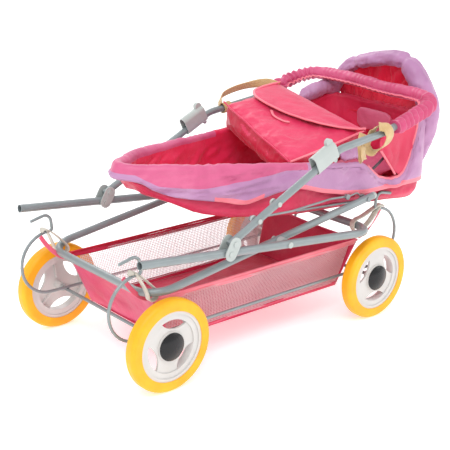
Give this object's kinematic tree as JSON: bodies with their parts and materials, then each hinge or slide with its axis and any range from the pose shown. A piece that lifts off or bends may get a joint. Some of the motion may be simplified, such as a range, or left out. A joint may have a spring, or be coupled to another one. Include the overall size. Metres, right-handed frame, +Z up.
{
  "type": "doll pram",
  "caption": "Folding doll pram with spoked wheels, sprung wire chassis, crossed tube frame, fold-over handle, carrycot, hood, mesh basket and a bag on the handle.",
  "frame": {"origin": "on the floor under the middle of the folded pram's whole outline", "axes": "+X towards the hood end, +Y towards the pram's left side, +Z up"},
  "size_m": [0.7769, 0.3624, 0.445],
  "materials": {
    "wire": "semi-gloss grey paint",
    "tube": "semi-gloss grey paint",
    "tyre": "satin foamed plastic",
    "rim": "moulded plastic",
    "hub_cap": "glossy black",
    "strap": "soft grey strap",
    "mesh": "open net",
    "basket_fabric": "woven nylon",
    "tape": "narrow tape",
    "webbing": "ribbed webbing",
    "cot_fabric": "satin woven nylon",
    "pillow_fabric": "satin woven nylon",
    "hood_fabric": "satin woven nylon",
    "bag_fabric": "satin woven nylon",
    "grip_fabric": "gathered nylon",
    "clip_plastic": "moulded plastic"
  },
  "bodies": {
    "chassis": {"chassis_wire_right": "wire", "chassis_wire_left": "wire", "axle_rear": "wire", "axle_front": "wire", "axle_clips": "clip_plastic", "basket_body": "basket_fabric", "basket_mesh_right": "mesh", "basket_mesh_left": "mesh", "basket_tapes": "tape", "strap_rear_right": "strap", "strap_rear_left": "strap", "strap_front_right": "strap", "strap_front_left": "strap"},
    "outer_frame": {"outer_tube": "tube", "cross_pivots": "clip_plastic", "hinge_bracket_right": "clip_plastic", "hinge_bracket_left": "clip_plastic", "hinge_rivets": "clip_plastic"},
    "inner_frame": {"inner_tube": "tube", "inner_tube_plugs": "clip_plastic"},
    "toggle_right": {"toggle_right": "wire"},
    "toggle_left": {"toggle_left": "wire"},
    "handle": {"handle_tube": "tube", "handle_grip": "grip_fabric", "handle_clips": "clip_plastic", "webbing_loops": "webbing"},
    "sleeve_right": {"sleeve_right": "clip_plastic"},
    "sleeve_left": {"sleeve_left": "clip_plastic"},
    "link_right": {"link_right": "wire"},
    "link_left": {"link_left": "wire"},
    "carrycot": {"cot_body": "cot_fabric", "cot_mattress": "cot_fabric", "cot_pillow": "pillow_fabric", "cot_wires": "wire"},
    "hood": {"hood_fabric": "hood_fabric", "hood_bow": "wire"},
    "bag": {"bag_body": "bag_fabric"},
    "bag_flap": {"bag_flap": "bag_fabric"},
    "wheel_rear_right": {"tyre_rear_right": "tyre", "rim_rear_right": "rim", "hub_cap_rear_right": "hub_cap"},
    "wheel_rear_left": {"tyre_rear_left": "tyre", "rim_rear_left": "rim", "hub_cap_rear_left": "hub_cap"},
    "wheel_front_right": {"tyre_front_right": "tyre", "rim_front_right": "rim", "hub_cap_front_right": "hub_cap"},
    "wheel_front_left": {"tyre_front_left": "tyre", "rim_front_left": "rim", "hub_cap_front_left": "hub_cap"}
  },
  "joints": [
    {"name": "wheel_spin_rear_right", "type": "hinge", "parent": "chassis", "child": "wheel_rear_right", "pos_m": [-0.2979, -0.157, 0.076], "axis": [0, 1, 0], "continuous": true},
    {"name": "wheel_spin_rear_left", "type": "hinge", "parent": "chassis", "child": "wheel_rear_left", "pos_m": [-0.2979, 0.157, 0.076], "axis": [0, 1, 0], "continuous": true},
    {"name": "wheel_spin_front_right", "type": "hinge", "parent": "chassis", "child": "wheel_front_right", "pos_m": [0.1709, -0.157, 0.076], "axis": [0, 1, 0], "continuous": true},
    {"name": "wheel_spin_front_left", "type": "hinge", "parent": "chassis", "child": "wheel_front_left", "pos_m": [0.1709, 0.157, 0.076], "axis": [0, 1, 0], "continuous": true},
    {"name": "outer_frame_lift", "type": "hinge", "parent": "chassis", "child": "outer_frame", "pos_m": [0.1515, 0, 0.17003], "axis": [0, 1, 0], "range_deg": [0, 22]},
    {"name": "inner_frame_open", "type": "hinge", "parent": "outer_frame", "child": "inner_frame", "pos_m": [-0.0627, 0, 0.19252], "axis": [0, -1, 0], "range_deg": [0, 39]},
    {"name": "handle_fold", "type": "hinge", "parent": "outer_frame", "child": "handle", "pos_m": [-0.1842, 0, 0.22096], "axis": [0, -1, 0], "range_deg": [0, 148.1]},
    {"name": "cot_level", "type": "hinge", "parent": "outer_frame", "child": "carrycot", "pos_m": [-0.0627, 0, 0.19252], "axis": [0, -1, 0], "range_deg": [0, 22]},
    {"name": "hood_raise", "type": "hinge", "parent": "carrycot", "child": "hood", "pos_m": [0.3285, 0, 0.331], "axis": [0, -1, 0], "range_deg": [0, 60]},
    {"name": "link_swing_right", "type": "hinge", "parent": "handle", "child": "link_right", "pos_m": [-0.13158, -0.156, 0.24651], "axis": [0, 1, 0], "range_deg": [0, 119.4]},
    {"name": "toggle_swing_right", "type": "hinge", "parent": "inner_frame", "child": "toggle_right", "pos_m": [0.1515, -0.136, 0.22373], "axis": [0, -1, 0], "range_deg": [0, 12]},
    {"name": "link_swing_left", "type": "hinge", "parent": "handle", "child": "link_left", "pos_m": [-0.13158, 0.156, 0.24651], "axis": [0, 1, 0], "range_deg": [0, 119.4]},
    {"name": "toggle_swing_left", "type": "hinge", "parent": "inner_frame", "child": "toggle_left", "pos_m": [0.1515, 0.136, 0.22373], "axis": [0, -1, 0], "range_deg": [0, 12]},
    {"name": "bag_hang", "type": "hinge", "parent": "handle", "child": "bag", "pos_m": [0.1515, 0, 0.34825], "axis": [-0.2027, 0.9786, -0.0345], "range_deg": [0, 59]},
    {"name": "bag_flap_open", "type": "hinge", "parent": "bag", "child": "bag_flap", "pos_m": [0.19275, -0.00329, 0.36398], "axis": [-0.0324, 0.9666, 0.2543], "range_deg": [0, 120]},
    {"name": "sleeve_slide_right", "type": "slide", "parent": "handle", "child": "sleeve_right", "axis": [-0.8996, 0, -0.4368], "range_m": [0, 0.07]},
    {"name": "sleeve_slide_left", "type": "slide", "parent": "handle", "child": "sleeve_left", "axis": [-0.8996, 0, -0.4368], "range_m": [0, 0.07]}
  ],
  "couplings": [
    {"joint": "outer_frame_lift", "follows": "handle_fold", "ratio": 0.14855},
    {"joint": "inner_frame_open", "follows": "handle_fold", "ratio": 0.26334},
    {"joint": "cot_level", "follows": "handle_fold", "ratio": 0.14855},
    {"joint": "hood_raise", "follows": "handle_fold", "ratio": 0.40513},
    {"joint": "link_swing_right", "follows": "handle_fold", "ratio": 0.80621},
    {"joint": "link_swing_left", "follows": "handle_fold", "ratio": 0.80621},
    {"joint": "toggle_swing_right", "follows": "handle_fold", "ratio": 0.081026},
    {"joint": "toggle_swing_left", "follows": "handle_fold", "ratio": 0.081026},
    {"joint": "bag_hang", "follows": "handle_fold", "ratio": 0.39838}
  ]
}
